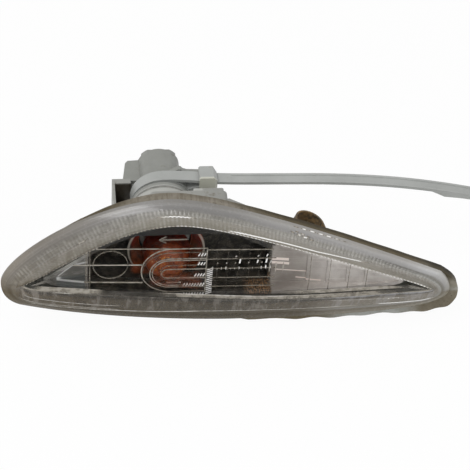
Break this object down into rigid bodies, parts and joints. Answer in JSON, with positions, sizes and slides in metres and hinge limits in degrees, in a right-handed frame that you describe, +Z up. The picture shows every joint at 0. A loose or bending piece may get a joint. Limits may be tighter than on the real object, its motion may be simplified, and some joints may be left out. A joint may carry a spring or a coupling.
{
  "type": "side repeater lamp",
  "caption": "Clear fin-shaped side repeater lamp for a car wing, with an amber wedge bulb in a twist-lock holder, a foam panel gasket and a nylon strap tie round the holder.",
  "frame": {"origin": "on the bulb axis, in the rear face of the foam gasket, the plane that rests on the body panel", "axes": "+X along the lens from its rounded nose to its pointed tip, -Y the way the lamp shines, +Y back through the panel along the bulb holder, +Z up towards the crown of the lens"},
  "size_m": [0.1577, 0.0575, 0.0519],
  "materials": {
    "lens": "clear moulded plastic, slightly scratched",
    "sealant": "dull bead",
    "housing": "light grey moulded plastic, dusty",
    "reflector": "metallised silver",
    "gasket": "dirty foam, torn along the lower right edge",
    "clip": "spring steel with brown rust",
    "holder": "light grey moulded plastic",
    "seal": "moulded ring",
    "contact": "tinned",
    "bulb": "amber",
    "lead": "drawn wire",
    "filament": "drawn wire",
    "tie": "natural nylon"
  },
  "bodies": {
    "root": {"lens": "lens", "lens_sealant": "sealant", "housing": "housing", "reflector": "reflector", "panel_gasket": "gasket", "spring_clip": "clip", "bulb_holder": "holder", "holder_seal": "seal", "contact_left": "contact", "contact_right": "contact", "bulb_glass": "bulb", "lead_left": "lead", "lead_right": "lead", "bulb_filament": "filament", "cable_tie": "tie"}
  },
  "joints": []
}
